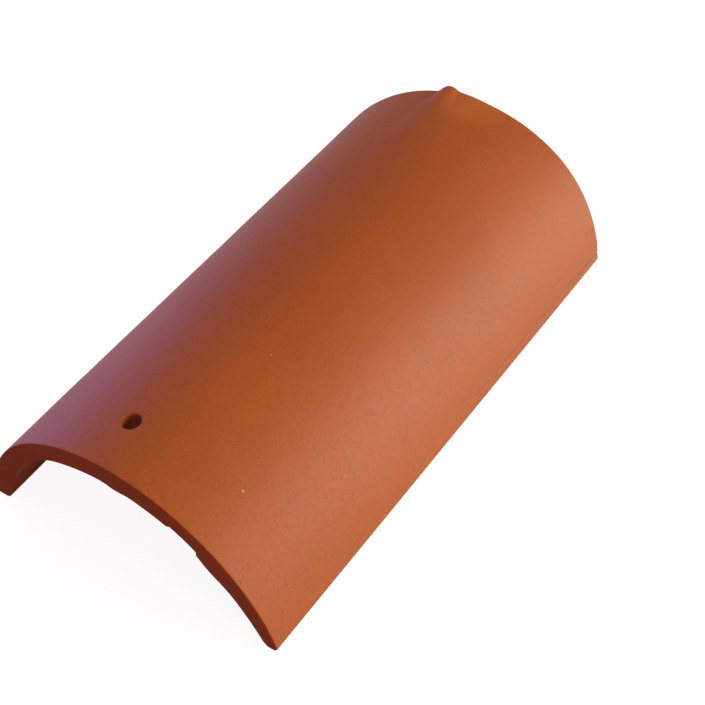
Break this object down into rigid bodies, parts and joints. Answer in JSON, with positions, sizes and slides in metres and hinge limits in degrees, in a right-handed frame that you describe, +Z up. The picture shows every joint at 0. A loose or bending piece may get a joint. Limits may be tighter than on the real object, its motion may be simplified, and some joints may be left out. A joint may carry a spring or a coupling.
{
  "type": "clay ridge tile",
  "caption": "Tapered half-round clay ridge tile with a nail hole near its narrow end and a pinched nose on its wide rim, laid lapped along a roof ridge.",
  "frame": {"origin": "on the floor under the middle of the tile, in the plane of its two feet", "axes": "+Y along the tile from the narrow end to the wide end, +Z up out of the crown, +X across it"},
  "size_m": [0.2472, 0.4, 0.1096],
  "materials": {
    "fired_clay": "satin red-brown engobe over fired clay, with fine sand grain"
  },
  "bodies": {
    "root": {"ridge_tile": "fired_clay"}
  },
  "joints": []
}
